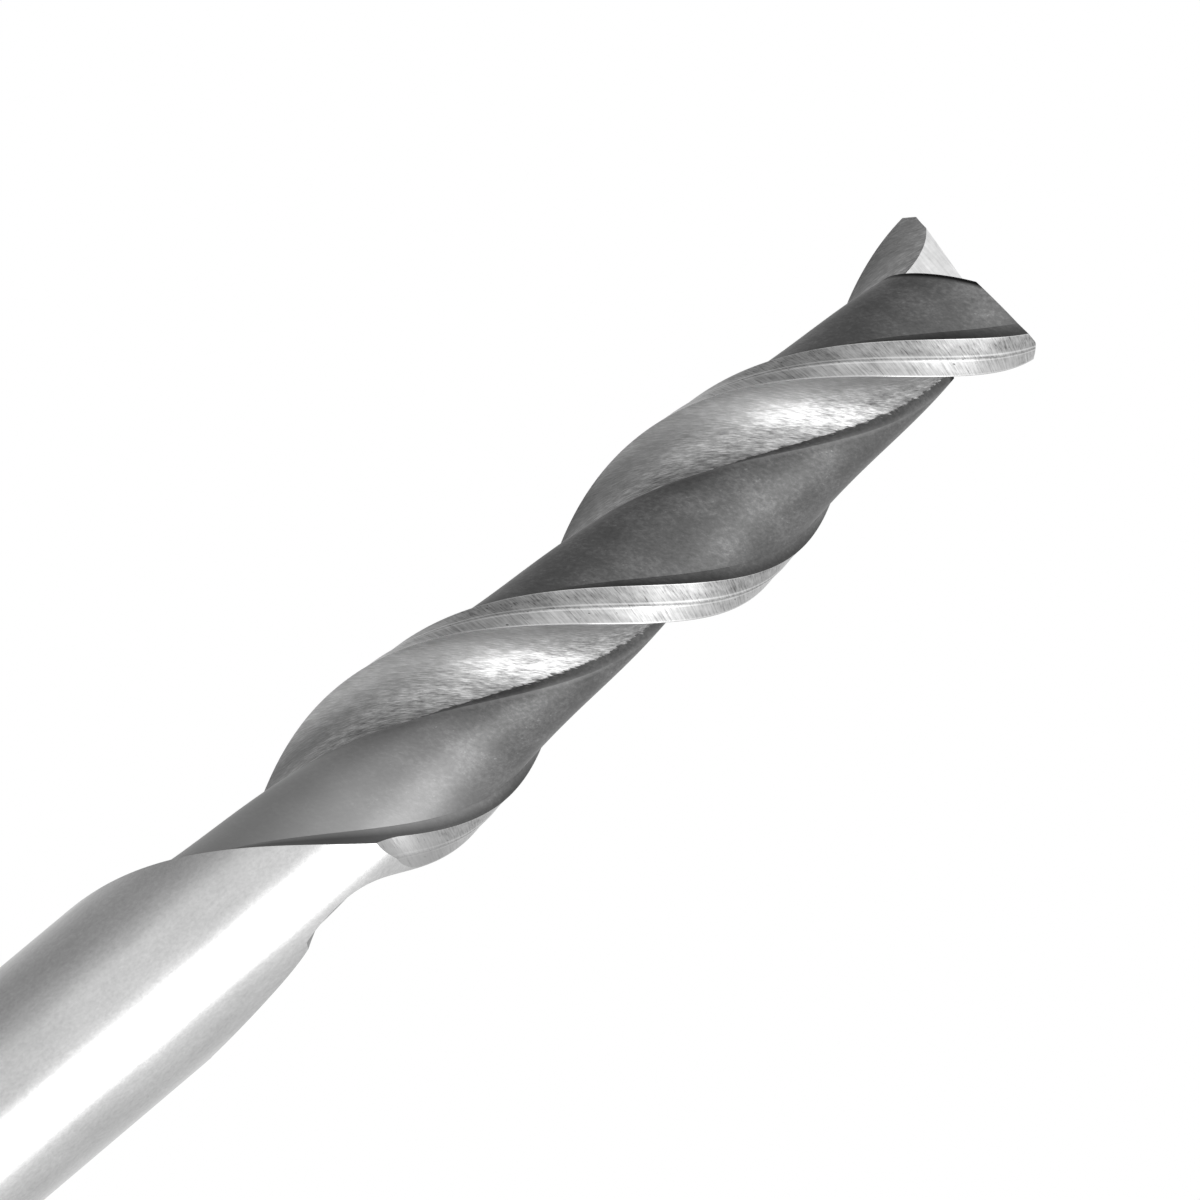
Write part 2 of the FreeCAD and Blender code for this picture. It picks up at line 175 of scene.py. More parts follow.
def node(tree, kind, inputs=(), output=None, stops=(), **settings):
    """Adds a node with its settings and gives one of its outputs. Its inputs are values or links, by name
    or in the order of the live ones. Stops are a ramp's, as (place, colour)."""
    item = tree.nodes.new("ShaderNode" + kind)
    for name, value in settings.items():
        setattr(item, name, value)
    live = [socket for socket in item.inputs if socket.enabled]
    for key, value in inputs.items() if isinstance(inputs, dict) else enumerate(inputs):
        socket = item.inputs[key] if isinstance(key, str) else live[key]
        if isinstance(value, bpy.types.NodeSocket):
            tree.links.new(value, socket)
        else:
            socket.default_value = value
    for number, (place, colour) in enumerate(stops):
        elements = item.color_ramp.elements
        element = elements[number] if number < len(elements) else elements.new(place)
        element.position, element.color = place, colour
    if output:
        return item.outputs[output]
    return next((socket for socket in item.outputs if socket.enabled), None)


def start_material(name):
    """A material with an empty node tree."""
    material = bpy.data.materials.new(name)
    material.use_nodes = True
    material.node_tree.nodes.clear()
    return material, material.node_tree


def dress(tree, colour, roughness, height, depth, metallic=1.0):
    """The metal itself: its colour, roughness and a relief as deep as given in metres."""
    normal = node(tree, "Bump", {"Height": height, "Distance": depth})
    surface = node(tree, "BsdfPrincipled", {"Base Color": colour, "Metallic": metallic,
                                            "Roughness": roughness, "Normal": normal})
    node(tree, "OutputMaterial", {"Surface": surface})


def marks(tree, place, size, detail=3.0, roughness=0.6, turn=0.0):
    """Uneven marks from 0 to 1, as long along each axis as given in the units of their place, turned
    about the third."""
    turned = node(tree, "Mapping", {"Vector": place, "Scale": size, "Rotation": (0, 0, math.radians(turn))},
                  vector_type="TEXTURE")
    return node(tree, "TexNoise", {"Vector": turned, "Scale": 1.0, "Detail": detail, "Roughness": roughness})


def line_along(tree, across, centre, half_width):
    """1 along a line at a place across the helix, falling to 0 at half its width to either side."""
    past = node(tree, "Math", (across, centre), operation="SUBTRACT")
    away = node(tree, "Math", (past,), operation="ABSOLUTE")
    return node(tree, "MapRange", (away, half_width, 0.0, 0.0, 1.0))


# Materials. Places across and up the helix are in millimetres, from the piece's own map. The finest marks
# of the wheels, a few hundredths of a millimetre, are drawn about 0.1 mm wide, so that they show.

GLINT_HALF_WIDTH = 0.1                 # half the width of a painted highlight line
SCRATCH_TURN = 31.0              # slant of the wheel's scratches on the rake
BORDER_BLUR = 0.04               # half the width over which the rake's ragged border passes
TEAR_REACH = 0.26                # how far the border's teeth reach to either side
EXIT_DULLED = (5.0, 1.0)         # above the relief's exit, from where to where the strips grow dull
LOW_END = (42.0, 52.0)           # below the cutting end, from where to where the scale grows lighter

def shank_steel():
    """High-speed steel, cylindrically ground: bright, with fine rings round the bar and faint cloudy
    handling marks, and a painted highlight along the heel's edge above the shank."""
    material, tree = start_material("cylindrically_ground_steel")
    place = node(tree, "TexCoord", output="Object")
    rings = marks(tree, place, (0.005, 0.005, 0.00012))
    cloud = marks(tree, place, (0.004, 0.004, 0.012), detail=4.0)
    specks = marks(tree, place, (0.0002, 0.0002, 0.0003), roughness=0.7)
    colour = node(tree, "ValToRGB", (node(tree, "Mix", (0.4, cloud, specks)),),
                  stops=[(0.3, hex_colour("b4b4b4")), (0.7, hex_colour("dcdcdc"))])
    helix = node(tree, "UVMap", uv_map="along_helix")
    across = node(tree, "SeparateXYZ", (helix,), output="X")
    up = node(tree, "SeparateXYZ", (helix,), output="Y")
    ground_off = node(tree, "MapRange", (up, SHANK_LENGTH - 1.5, SHANK_LENGTH + 3.5, 0.0, 1.0))
    # Painted highlight: a bright line along the heel's edge, above the shank.
    heel_painted_highlight = line_along(tree, across, HEEL_PLACE - 0.04, GLINT_HALF_WIDTH)
    painted_edge_highlight = node(tree, "Math", (heel_painted_highlight, ground_off), operation="MULTIPLY")
    colour = node(tree, "Mix", (painted_edge_highlight, colour, hex_colour("fafafa")), data_type="RGBA")
    dress(tree, colour, 0.27, rings, 0.000002)
    return material


def land_steel(name, shades, tick, first, last, crease, seed):
    """A relief strip ground across the land: short tool marks square to the axis, blotched tones,
    painted highlights along its borders and painted shade along the crease, all given as places across
    from the cutting edge. The strip dulls at its far end."""
    material, tree = start_material(name)
    helix = node(tree, "UVMap", uv_map="along_helix")
    across = node(tree, "SeparateXYZ", (helix,), output="X")
    up = node(tree, "SeparateXYZ", (helix,), output="Y")
    moved = node(tree, "VectorMath", (helix, (seed, seed, 0.0)), operation="ADD")
    ticks = marks(tree, moved, tick, detail=2.0, roughness=0.7)
    blotches = marks(tree, moved, (0.9, 1.1, 1.0), detail=4.0)
    pits = marks(tree, moved, (0.35, 0.35, 1.0), detail=1.0)
    colour = node(tree, "ValToRGB", (node(tree, "Mix", (0.42, ticks, blotches)),),
                  stops=[(level, hex_colour(shade)) for level, shade in zip((0.34, 0.47, 0.60), shades)])
    pitted = node(tree, "MapRange", (pits, 0.73, 0.78, 0.0, 1.0))
    colour = node(tree, "Mix", (pitted, colour, hex_colour("5a5a5a")), data_type="RGBA")
    # Painted highlights: bright lines along the strip's borders.
    painted_edge_highlight = node(tree, "Math", (line_along(tree, across, first, 0.11), line_along(tree, across, last, 0.07)),
                operation="MAXIMUM")
    painted_edge_highlight = node(tree, "Math", (painted_edge_highlight, 0.55), operation="MULTIPLY")
    colour = node(tree, "Mix", (painted_edge_highlight, colour, hex_colour("f6f6f6")), data_type="RGBA")
    # Painted shade: a dark line along the crease between the strips.
    painted_crease_shade = node(tree, "Math", (line_along(tree, across, crease, 0.07), 0.3), operation="MULTIPLY")
    colour = node(tree, "Mix", (painted_crease_shade, colour, hex_colour("3c3c3c")), data_type="RGBA")
    exit_place = LENGTH - RELIEF_LENGTH
    dulled = node(tree, "MapRange", (up, exit_place + EXIT_DULLED[0], exit_place + EXIT_DULLED[1], 0.0, 0.8))
    colour = node(tree, "Mix", (dulled, colour, hex_colour("a8a8a8")), data_type="RGBA")
    roughness = node(tree, "MapRange", (ticks, 0.3, 0.7, 0.27, 0.42))
    dress(tree, colour, roughness, ticks, 0.000012)
    return material


def gash_painted_shadow(tree):
    """1 in a thin line of painted shadow where an end gash breaks out through the back of the tooth, from
    the planes of both gashes' floors."""
    place = node(tree, "TexCoord", output="Object")
    lines = []
    for tooth in range(TEETH):
        turn = Matrix.Rotation(math.radians(tooth * TOOTH_PITCH), 3, "Z") @ GASH_FRAME
        ahead = turn @ Vector((0, 1, 0))
        normal = turn @ Matrix.Rotation(math.radians(GASH_FLOOR_TILT), 3, "X") @ Vector((0, 0, 1))
        offset = normal.z * (LENGTH - GASH_DEPTH) + normal.xy.dot(ahead.xy) * GASH_OFFSET
        along_normal = node(tree, "VectorMath", (place, normal), output="Value", operation="DOT_PRODUCT")
        depth = node(tree, "Math", (offset * MM, along_normal), operation="SUBTRACT")
        line = node(tree, "MapRange", (depth, GASH_SHADOW_WIDTH * MM, 0.4 * GASH_SHADOW_WIDTH * MM, 0.0, 1.0))
        side = node(tree, "VectorMath", (place, ahead), output="Value", operation="DOT_PRODUCT")
        this_side = node(tree, "Math", (side, 0.0), operation="GREATER_THAN")
        lines.append(node(tree, "Math", (line, this_side), operation="MULTIPLY"))
    return node(tree, "Math", lines, operation="MAXIMUM")


def flute_steel():
    """A flute: the rake side is ground bright by a wheel, whose fine scratches slant across the helix, up
    to a ragged border, with a painted highlight towards the cutting edge. The rest keeps the dark scale of
    hardening, cloudy and mottled, with a painted highlight along the ridge and painted shade, darkest along
    the heel, the border and the gash's edge."""
    material, tree = start_material("wheel_ground_rake_and_hardening_scale")
    helix = node(tree, "UVMap", uv_map="along_helix")
    across = node(tree, "SeparateXYZ", (helix,), output="X")
    up = node(tree, "SeparateXYZ", (helix,), output="Y")
    scratches = marks(tree, helix, (0.08, 0.6, 1.0), roughness=0.7, turn=SCRATCH_TURN)
    sweeps = marks(tree, helix, (0.45, 1.5, 1.0), detail=4.0, turn=SCRATCH_TURN)
    tears = marks(tree, helix, (0.2, 0.8, 1.0), detail=2.0, turn=38.0)
    tear = node(tree, "MapRange", (tears, 0.25, 0.75, -TEAR_REACH, TEAR_REACH))
    border = node(tree, "Math", (across, tear), operation="ADD")
    ground = node(tree, "MapRange", (border, GROUND_BORDER - BORDER_BLUR, GROUND_BORDER + BORDER_BLUR,
                                     0.0, 1.0))

    bright = node(tree, "ValToRGB", (node(tree, "Mix", (0.35, scratches, sweeps)),),
                  stops=[(0.34, hex_colour("646464")), (0.48, hex_colour("a0a0a0")),
                         (0.64, hex_colour("e2e2e2"))])
    # Painted highlight: the rake grows lighter towards the cutting edge.
    rake_painted_highlight = node(tree, "MapRange", (across, EDGE_PLACE - 3.4, EDGE_PLACE - 1.0, 0.0, 0.55))
    bright = node(tree, "Mix", (rake_painted_highlight, bright, hex_colour("dedede")), data_type="RGBA")

    clouds = marks(tree, helix, (2.6, 3.4, 1.0), detail=4.0, roughness=0.55)
    mottle = marks(tree, helix, (0.3, 0.3, 1.0), detail=3.0, roughness=0.7)
    flecks = marks(tree, helix, (0.25, 0.3, 1.0), detail=2.0)
    scale = node(tree, "ValToRGB", (node(tree, "Mix", (0.5, clouds, mottle)),),
                 stops=[(0.34, hex_colour("565656")), (0.5, hex_colour("666666")),
                        (0.66, hex_colour("7e7e7e"))])
    low_end = node(tree, "MapRange", (up, LENGTH - LOW_END[0], LENGTH - LOW_END[1], 0.0, 0.6))
    scale = node(tree, "Mix", (low_end, scale, hex_colour("b0b0b0")), data_type="RGBA")
    flecked = node(tree, "MapRange", (flecks, 0.62, 0.76, 0.0, 0.5))
    clouded = node(tree, "MapRange", (clouds, 0.46, 0.62, 0.0, 1.0))
    fleck_share = node(tree, "Math", (flecked, clouded), operation="MULTIPLY")
    scale = node(tree, "Mix", (fleck_share, scale, hex_colour("b0b0b0")), data_type="RGBA")
    # Painted highlight: a lighter line along the ridge.
    ridge_painted_highlight = node(tree, "Math", (line_along(tree, across, RIDGE_PLACE, 0.3), 0.25), operation="MULTIPLY")
    scale = node(tree, "Mix", (ridge_painted_highlight, scale, hex_colour("b0b0b0")), data_type="RGBA")
    # Painted shade: darker along the heel wall and a painted shadow under the ragged border.
    heel_painted_shade = node(tree, "MapRange", (across, HEEL_PLACE + 0.75, HEEL_PLACE + 0.2, 0.0, 0.6))
    border_painted_shadow = node(tree, "MapRange", (border, GROUND_BORDER - 1.4, GROUND_BORDER - 0.1, 0.0, 0.25))
    painted_shade = node(tree, "Math", (heel_painted_shade, border_painted_shadow), operation="MAXIMUM")
    scale = node(tree, "Mix", (painted_shade, scale, hex_colour("262626")), data_type="RGBA")
    # Painted shadow: a near-black line where each gash breaks out through the tooth's back.
    scale = node(tree, "Mix", (gash_painted_shadow(tree), scale, hex_colour("101010")), data_type="RGBA")

    colour = node(tree, "Mix", (ground, scale, bright), data_type="RGBA")
    roughness = node(tree, "MapRange", (ground, 0.0, 1.0, 0.44, 0.36))
    metallic = node(tree, "MapRange", (ground, 0.0, 1.0, 0.85, 1.0))
    height = node(tree, "Mix", (ground, mottle, scratches))
    dress(tree, colour, roughness, height, 0.000010, metallic)
    return material


def end_steel():
    """The gash and the end relief, ground by a wheel's face: bright, with fine straight scratches."""
    material, tree = start_material("wheel_ground_steel_end")
    place = node(tree, "TexCoord", output="Object")
    scratches = marks(tree, place, (0.002, 0.0001, 0.0001), detail=2.0)
    blotches = marks(tree, place, (0.0006, 0.0006, 0.0006))
    colour = node(tree, "ValToRGB", (node(tree, "Mix", (0.5, scratches, blotches)),),
                  stops=[(0.3, hex_colour("c4c4c4")), (0.7, hex_colour("ececec"))])
    dress(tree, colour, 0.34, scratches, 0.000004)
    return material


STRIP_BORDER = MARGIN_WIDTH + PRIMARY_WIDTH
SHANK_STEEL = shank_steel()
PRIMARY_STEEL = land_steel("relief_ground_steel_first_strip", ("8c8c8c", "b4b4b4", "cccccc"),
                           (2.0, 0.13, 1.0), 0.05, STRIP_BORDER - 0.16, STRIP_BORDER, 0.0)
SECONDARY_STEEL = land_steel("relief_ground_steel_second_strip", ("6c6c6c", "a0a0a0", "bcbcbc"),
                             (0.9, 0.11, 1.0), STRIP_BORDER + 0.2, HEEL_PLACE, STRIP_BORDER, 37.0)
FLUTE_STEEL = flute_steel()
END_STEEL = end_steel()


# Mesh helpers

def deselect_all():
    bpy.ops.object.select_all(action="DESELECT")


def activate(piece):
    deselect_all()
    piece.select_set(True)
    bpy.context.view_layer.objects.active = piece


def helix_point(r, behind, below):
    """A point at a radius and an angle behind the cutting edge, at a distance below the cutting end."""
    turn = math.radians(behind + 360.0 * below / LEAD)
    return Vector((r * math.cos(turn), -r * math.sin(turn), LENGTH - below))


def relief_outline():
    """The section of the cutter for the two relief strips, as (r, behind) points."""
    def place(r, behind):
        return Vector((r * math.cos(math.radians(behind)), r * math.sin(math.radians(behind))))
    front = place(RADIUS, width_angle(MARGIN_WIDTH))
    middle = place(RADIUS - PRIMARY_DEPTH, PRIMARY_END)
    back = place(RADIUS - HEEL_DEPTH, HEEL)
    line = [front + 0.35 * (front - middle), front, front.lerp(middle, 0.5), middle,
            middle.lerp(back, 0.5), back, back + 0.3 * (back - middle)]
    names = ["first", "first", "first", "second", "second", "second", "second"]
    return [(p.length, math.degrees(math.atan2(p.y, p.x)), n) for p, n in zip(line, names)]


def flute_rise(behind, below, length):
    """How far a flute's floor has risen: an arc, later towards the heel by the skew."""
    run = below - length - math.tan(math.radians(RUNOUT_SKEW)) * RADIUS * math.radians(TOOTH_PITCH - behind)
    return max(0.0, run) ** 2 / (2 * RUNOUT_RADIUS)


def relief_rise(behind, below, length):
    """How far the relief strips have risen: an arc, square to the axis."""
    return max(0.0, below - length) ** 2 / (2 * RELIEF_EXIT_RADIUS)


def sweep_cutter(name, outline, tooth, length, reach, rise, materials):
    """A helical cutter for one tooth: its outline is swept up the helix by a screw, capped, and its floor
    raised beyond its length."""
    count = len(outline)
    closing = [(CLEAR, outline[-1][1]), (CLEAR, (outline[0][1] + outline[-1][1]) / 2), (CLEAR, outline[0][1])]
    ring = [(r, behind) for r, behind, _ in outline] + closing
    mesh = bpy.data.meshes.new(name)
    mesh.from_pydata([helix_point(r, behind, reach) for r, behind in ring],
                     [(i, (i + 1) % len(ring)) for i in range(len(ring))], [])
    cutter = bpy.data.objects.new(name, mesh)
    bpy.context.scene.collection.objects.link(cutter)
    activate(cutter)
    height = reach + OVERRUN
    steps = round(height / SWEEP_STEP)
    screw = cutter.modifiers.new("screw", "SCREW")
    screw.axis = "Z"
    screw.angle = 2 * math.pi * height / LEAD
    screw.screw_offset = height
    screw.steps = screw.render_steps = steps
    screw.use_smooth_shade = True
    bpy.ops.object.modifier_apply(modifier="screw")
    bpy.ops.object.mode_set(mode="EDIT")
    bpy.ops.mesh.select_all(action="SELECT")
    bpy.ops.mesh.fill_holes(sides=0)
    bpy.ops.mesh.normals_make_consistent(inside=False)
    bpy.ops.object.mode_set(mode="OBJECT")
    limit = RADIUS + OVER_RISE
    for vertex in cutter.data.vertices:
        x, y, z = vertex.co
        below = LENGTH - z
        r = math.hypot(x, y)
        behind = (-math.degrees(math.atan2(y, x)) - 360.0 * below / LEAD) % 360.0
        if rise is relief_rise and behind > TOOTH_PITCH:
            behind -= 360.0
        lifted = max(r, min(r + rise(behind, below, length), limit))
        vertex.co.x *= lifted / r
        vertex.co.y *= lifted / r
    names = [n for _, _, n in outline]
    edges_behind = [b for _, b, _ in outline]
    kinds = sorted(set(names))
    for kind in kinds:
        cutter.data.materials.append(materials[kind])
    for face in cutter.data.polygons:
        x, y, z = face.center
        behind = (-math.degrees(math.atan2(y, x)) - 360.0 * (LENGTH - z) / LEAD) % 360.0
        if rise is relief_rise and behind > TOOTH_PITCH:
            behind -= 360.0
        place = max([i for i in range(count) if edges_behind[i] <= behind], default=0)
        face.material_index = kinds.index(names[min(place, count - 1)])
    cutter.data.transform(Matrix.Rotation(math.radians(tooth * TOOTH_PITCH), 4, "Z"))
    return cutter


def turned_copy(cutter, tooth):
    """A copy of a cutter for another tooth, turned in its mesh."""
    copy = cutter.copy()
    copy.data = cutter.data.copy()
    copy.name = "%s_%d" % (cutter.name, tooth + 1)
    copy.data.transform(Matrix.Rotation(math.radians(tooth * TOOTH_PITCH), 4, "Z"))
    bpy.context.scene.collection.objects.link(copy)
    return copy


def cutting_block(name, corner, turns, spans, material):
    """A block whose corner lies at a point and whose edges run along the turned axes, spans giving each
    one's reach as (from, to)."""
    deselect_all()
    bpy.ops.mesh.primitive_cube_add(size=1.0)
    block = bpy.context.active_object
    block.name = name
    stretch = Matrix.Diagonal([b - a for a, b in spans] + [1.0])
    shift = Matrix.Translation([(a + b) / 2 for a, b in spans])
    turn = Matrix.Identity(4)
    for axis, angle in turns:
        turn = turn @ Matrix.Rotation(math.radians(angle), 4, axis)
    block.data.transform(Matrix.Translation(corner) @ turn @ shift @ stretch)
    block.data.materials.append(material)
    return block


def gash_cutter():
    """The corner ahead of a tooth's end edge: an upright face along the edge and a floor that falls
    outwards."""
    reach = 3 * RADIUS
    corner = (0, GASH_OFFSET, LENGTH - GASH_DEPTH)
    block = cutting_block("gash", corner, [("Z", GASH_TURN), ("Y", GASH_ANGLE)],
                          [(-reach, reach), (0, 2 * RADIUS), (-reach, reach)], END_STEEL)
    floor = GASH_FRAME @ Matrix.Rotation(math.radians(GASH_FLOOR_TILT), 3, "X") @ Vector((0, 0, 1))
    activate(block)
    bpy.ops.object.mode_set(mode="EDIT")
    bpy.ops.mesh.select_all(action="SELECT")
    bpy.ops.mesh.bisect(plane_co=corner, plane_no=floor, use_fill=True, clear_inner=True)
    bpy.ops.mesh.select_all(action="SELECT")
    bpy.ops.mesh.normals_make_consistent(inside=False)
    bpy.ops.object.mode_set(mode="OBJECT")
    return block


def end_relief_cutters():
    """Two sloping blocks behind a tooth's end edge, which falls from the corner towards the axis."""
    fall = (RADIUS - CORNER_CHAMFER) * math.tan(math.radians(DISH_ANGLE))
    reach = 2 * RADIUS
    edge = Vector((HAIR, HAIR, LENGTH - fall))
    first = cutting_block("end_first", edge, [("Y", -DISH_ANGLE), ("X", END_PRIMARY_ANGLE)],
                          [(0, reach), (-END_PRIMARY_WIDTH * 1.2, 0.6), (0, reach)], END_STEEL)
    turn = Matrix.Rotation(math.radians(-DISH_ANGLE), 3, "Y")
    drop = END_PRIMARY_WIDTH * math.tan(math.radians(END_PRIMARY_ANGLE))
    corner = edge + turn @ Vector((0, -END_PRIMARY_WIDTH, -drop))
    second = cutting_block("end_second", corner, [("Y", -DISH_ANGLE), ("X", END_SECONDARY_ANGLE)],
                           [(0, reach), (-reach, 0.5), (0, reach)], END_STEEL)
    return [first, second]


def make_bar():
    """The bar: a cylinder with its end edges chamfered, eased to the cutter's diameter above the
    shank."""
    deselect_all()
    bpy.ops.mesh.primitive_cylinder_add(vertices=BAR_SIDES, radius=SHANK_RADIUS, depth=LENGTH,
                                        location=(0, 0, LENGTH / 2))
    bar = bpy.context.active_object
    bar.name = "end_mill_ground"
    bpy.ops.object.transform_apply(location=True, rotation=True, scale=True)
    bpy.ops.object.mode_set(mode="EDIT")
    for height in (SHANK_LENGTH, SHANK_LENGTH + SHANK_STEP):
        bpy.ops.mesh.select_all(action="SELECT")
        bpy.ops.mesh.bisect(plane_co=(0, 0, height), plane_no=(0, 0, 1))
    for height, width in ((0.0, SHANK_CHAMFER), (LENGTH, CORNER_CHAMFER)):
        bm = bmesh.from_edit_mesh(bar.data)
        for edge in bm.edges:
            edge.select_set(all(abs(v.co.z - height) < FINE for v in edge.verts))
        bm.select_flush(True)
        bpy.ops.mesh.bevel(offset=width, offset_type="OFFSET", segments=1)
    bpy.ops.object.mode_set(mode="OBJECT")
    ratio = RADIUS / SHANK_RADIUS
    for vertex in bar.data.vertices:
        if vertex.co.z > SHANK_LENGTH + SHANK_STEP / 2:
            vertex.co.x *= ratio
            vertex.co.y *= ratio
    bar.data.transform(Matrix.Rotation(math.radians(BAR_TURN), 4, "Z"))
    bar.data.materials.append(SHANK_STEEL)
    return bar


def cut_away(piece, cutter):
    """Subtracts a cutter, whose faces keep their own material, and removes it. Both are made triangles
    first, so that no face is warped."""
    for item in (cutter, piece):
        activate(item)
        bpy.ops.object.mode_set(mode="EDIT")
        bpy.ops.mesh.select_all(action="SELECT")
        bpy.ops.mesh.quads_convert_to_tris(quad_method="SHORTEST_DIAGONAL", ngon_method="BEAUTY")
        bpy.ops.object.mode_set(mode="OBJECT")
    cut = piece.modifiers.new("cut", "BOOLEAN")
    cut.operation = "DIFFERENCE"
    cut.object = cutter
    cut.solver = "EXACT"
    cut.material_mode = "TRANSFER"
    bpy.ops.object.modifier_apply(modifier="cut")
    bpy.data.objects.remove(cutter)


def grind(bar):
    """Cuts the flutes, the land relief, the end gashes and the end relief out of the bar."""
    ends = [gash_cutter()] + end_relief_cutters()
    for tooth in range(TEETH):
        for cutter in ends:
            cut_away(bar, turned_copy(cutter, tooth))
    for tooth in range(TEETH):
        cut_away(bar, sweep_cutter("flute", flute_outline(), tooth, FLUTE_LENGTHS[tooth], FLUTE_REACH,
                                   flute_rise, {"scale": FLUTE_STEEL, "rake": FLUTE_STEEL}))
        cut_away(bar, sweep_cutter("relief", relief_outline(), tooth, RELIEF_LENGTH,
                                   RELIEF_LENGTH + RELIEF_OVERRUN, relief_rise,
                                   {"first": PRIMARY_STEEL, "second": SECONDARY_STEEL}))
    for cutter in ends:
        bpy.data.objects.remove(cutter)


def finish_mesh(piece):
    """Merges doubles, marks the borders between ground surfaces sharp and shades the rest smooth."""
    activate(piece)
    bpy.ops.object.mode_set(mode="EDIT")
    bpy.ops.mesh.select_all(action="SELECT")
    bpy.ops.mesh.remove_doubles(threshold=10 * FINE)
    bpy.ops.mesh.dissolve_degenerate(threshold=FINE)
    bpy.ops.object.mode_set(mode="OBJECT")
    bpy.ops.object.shade_smooth_by_angle(angle=math.radians(SHARP_ANGLE))
    bm = bmesh.new()
    bm.from_mesh(piece.data)
    for edge in bm.edges:
        if len({face.material_index for face in edge.link_faces}) == 2:
            edge.smooth = False
    bm.to_mesh(piece.data)
    bm.free()


def add_surface_map(piece):
    """A UV map in millimetres that follows the helix: along the section from the cutting edge, and up the
    axis. Near the next edge, where the rake is radial, the place along the section comes from the
    radius."""
    mesh = piece.data
    layer = mesh.uv_layers.new(name="along_helix")
    flute = mesh.materials.find(FLUTE_STEEL.name)
    rake = SECTION_ANGLES > RAKE_FROM
    for face in mesh.polygons:
        x, y, z = face.center
        turned = (-math.degrees(math.atan2(y, x)) - 360.0 * (LENGTH - z) / LEAD) % 360.0
        tooth = int(turned // TOOTH_PITCH)
        middle = turned % TOOTH_PITCH
        if face.material_index == flute and middle < HEEL / 2:
            middle += TOOTH_PITCH
            tooth -= 1
        elif face.material_index != flute and middle > RAKE_FROM:
            middle -= TOOTH_PITCH
        for loop in face.loop_indices:
            x, y, z = mesh.vertices[mesh.loops[loop].vertex_index].co
            below = LENGTH - z
            behind = -math.degrees(math.atan2(y, x)) - 360.0 * below / LEAD
            behind = middle + (behind - turned + 180.0) % 360.0 - 180.0
            if face.material_index == flute and behind > RAKE_FROM:
                r = math.hypot(x, y) - flute_rise(behind, below, FLUTE_LENGTHS[tooth])
                across = float(np.interp(r, SECTION_RADII[rake], SECTION_LENGTHS[rake]))
            else:
                across = float(np.interp(behind, SECTION_ANGLES, SECTION_LENGTHS))
            layer.data[loop].uv = (across, z)


bar = make_bar()
grind(bar)
finish_mesh(bar)
add_surface_map(bar)
bar.data.transform(Matrix.Scale(MM, 4))
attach(bar, "root")
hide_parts("end_mill")

# Floor: a pale disc that ends before the camera, which looks up past it

FLOOR_RADIUS = 0.055

deselect_all()
bpy.ops.mesh.primitive_circle_add(vertices=128, radius=FLOOR_RADIUS, fill_type="NGON")
floor = bpy.context.active_object
floor.name = "floor"
floor_material, tree = start_material("painted_pale_floor")
paint = node(tree, "BsdfPrincipled", {"Base Color": hex_colour("f0f0f0"), "Roughness": 0.9})
node(tree, "OutputMaterial", {"Surface": paint})
floor.data.materials.append(floor_material)

# World: a white room with grey stretches of wall, which only reflections show

# Levels by compass direction, in degrees from +X: of the walls, and of what lies below them
AZIMUTHS = [(-180, 0.38), (-160, 0.47), (-140, 0.66), (-120, 0.98), (-80, 1.0), (-30, 1.0), (5, 0.92),
            (25, 0.84), (40, 0.78), (60, 0.82), (80, 0.92), (100, 0.9), (125, 0.6), (160, 0.42), (180, 0.38)]
GROUND_LEVELS = [(-180, 0.1), (-80, 0.12), (10, 0.75), (90, 0.6), (180, 0.1)]
PLAIN_LEVEL = 0.8                # what a matt surface gets from all sides
world = bpy.data.worlds.new("studio")
bpy.context.scene.world = world
world.use_nodes = True
tree = world.node_tree
tree.nodes.clear()
heading = node(tree, "TexCoord", output="Generated")
east = node(tree, "SeparateXYZ", (heading,), output="X")
north = node(tree, "SeparateXYZ", (heading,), output="Y")
upward = node(tree, "SeparateXYZ", (heading,), output="Z")
azimuth = node(tree, "Math", (north, east), operation="ARCTAN2")
round_the_room = node(tree, "MapRange", (azimuth, -math.pi, math.pi, 0.0, 1.0))
walls = node(tree, "ValToRGB", (round_the_room,),
             stops=[((angle + 180) / 360, (level, level, level, 1.0)) for angle, level in AZIMUTHS])
ground = node(tree, "ValToRGB", (round_the_room,),
              stops=[((angle + 180) / 360, (level, level, level, 1.0)) for angle, level in GROUND_LEVELS])
towards_ground = node(tree, "MapRange", (upward, -0.72, -0.22, ground, 1.0))
room = node(tree, "Math", (walls, towards_ground), operation="MULTIPLY")
reflected = node(tree, "Math", (node(tree, "LightPath", output="Is Glossy Ray"),
                                node(tree, "LightPath", output="Is Transmission Ray")), operation="MAXIMUM")
indirect = node(tree, "Mix", (reflected, PLAIN_LEVEL, room))
seen = node(tree, "Math", (indirect, node(tree, "LightPath", output="Is Camera Ray")), operation="MAXIMUM")
background = node(tree, "Background", {"Color": seen, "Strength": 1.0})
node(tree, "OutputWorld", {"Surface": background})


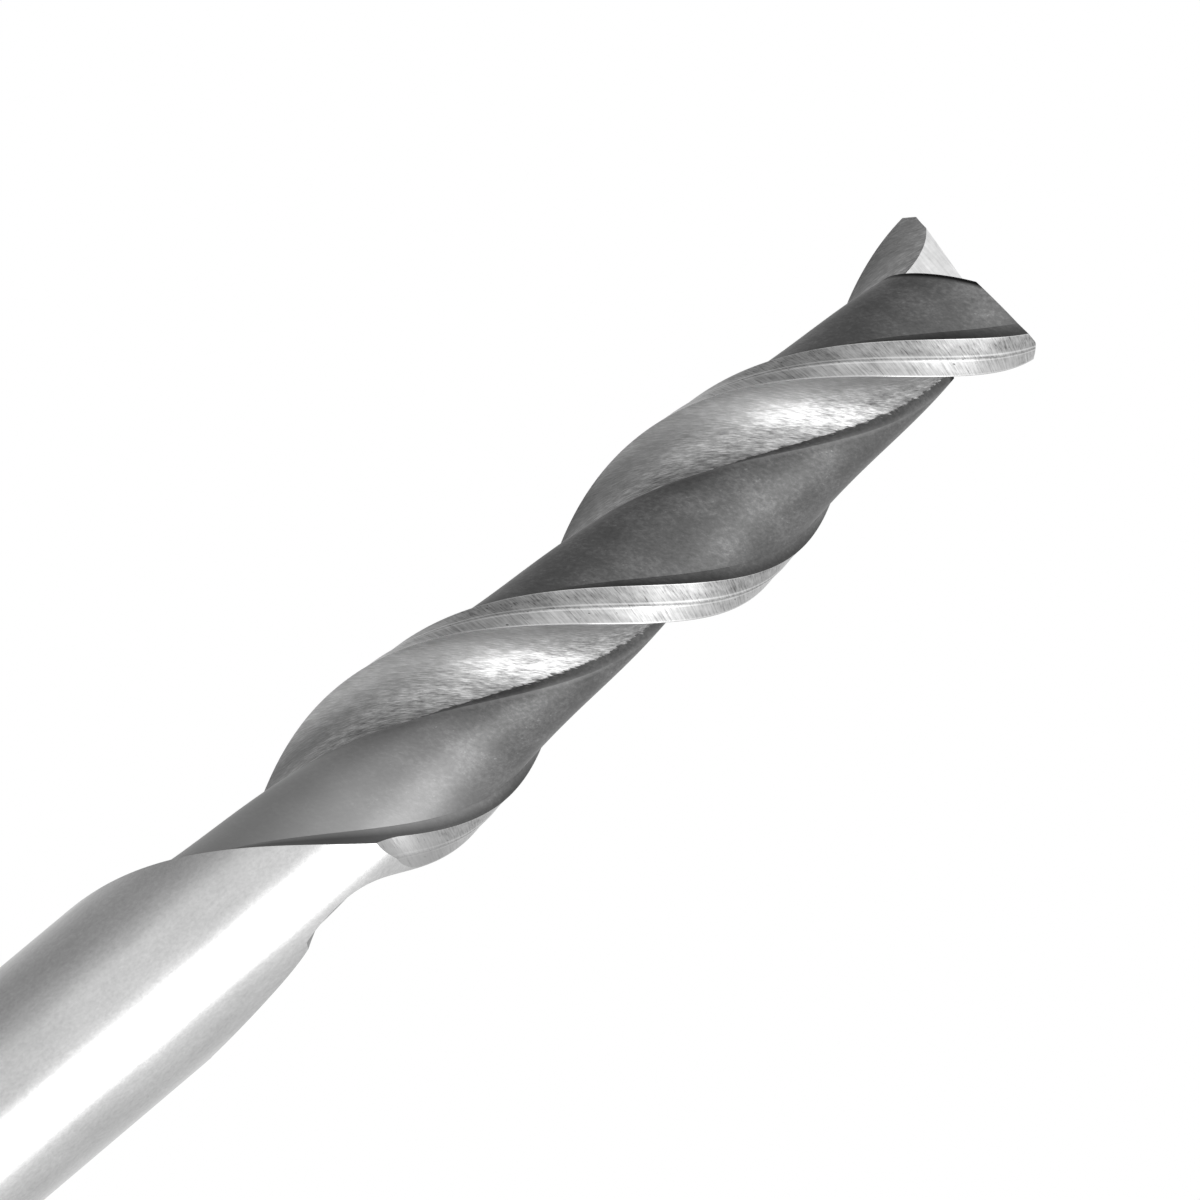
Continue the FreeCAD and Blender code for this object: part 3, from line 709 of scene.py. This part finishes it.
def softbox(name, azimuth, distance, height, width, tall, radiance):
    """A soft area lamp that faces the tool's axis."""
    lamp = bpy.data.lights.new(name, "AREA")
    lamp.shape = "RECTANGLE"
    lamp.size, lamp.size_y = width, tall
    lamp.energy = radiance * math.pi * width * tall
    item = bpy.data.objects.new(name, lamp)
    bpy.context.scene.collection.objects.link(item)
    turn = math.radians(azimuth)
    place = Vector((distance * math.cos(turn), distance * math.sin(turn), height))
    item.location = place
    item.rotation_euler = (Vector((0, 0, height)) - place).to_track_quat("-Z", "Y").to_euler()


softbox("key_softbox", -43, 0.45, 0.11, 0.45, 0.46, 1.9)

# Camera: a long lens that looks up at the cutting end, with the tool's axis across the picture

AXIS_ON_SCREEN = 40.05           # the axis above the picture's horizontal
AXIS_LEAN = 15.33                # the cutting end leans away from the camera
CAMERA_TURN = 4.01               # turn of the tool about its axis
TIP_PLACE = Vector((23.03, -19.51, 369.3))     # the cutting end: right, down and forward of the camera
LENS = 180.0
SENSOR = 36.0


def add_camera():
    screen, lean, turn = (math.radians(a) for a in (AXIS_ON_SCREEN, AXIS_LEAN, CAMERA_TURN))
    along = Vector((math.cos(lean) * math.cos(screen), -math.cos(lean) * math.sin(screen), math.sin(lean)))
    across = Vector((math.sin(screen), math.cos(screen), 0.0))
    towards = Vector((math.sin(lean) * math.cos(screen), -math.sin(lean) * math.sin(screen), -math.cos(lean)))
    tool_across = Vector((math.cos(turn), math.sin(turn), 0.0))
    tool_towards = Vector((math.sin(turn), -math.cos(turn), 0.0))
    tool_along = Vector((0.0, 0.0, 1.0))
    seen = Matrix((across, towards, along)).transposed() @ Matrix((tool_across, tool_towards, tool_along))
    place = Vector((0, 0, LENGTH)) - seen.transposed() @ TIP_PLACE
    right, down, forward = seen.row[0], seen.row[1], seen.row[2]
    lens = bpy.data.cameras.new("camera")
    lens.lens = LENS
    lens.sensor_width = SENSOR
    lens.clip_start = 0.01
    lens.clip_end = 10.0
    camera = bpy.data.objects.new("camera", lens)
    bpy.context.scene.collection.objects.link(camera)
    facing = Matrix((right, -down, -forward)).transposed().to_4x4()
    camera.matrix_world = Matrix.Translation(place * MM) @ facing
    bpy.context.scene.camera = camera


add_camera()
bpy.context.scene.view_settings.view_transform = "Standard"

bpy.context.view_layer.update()
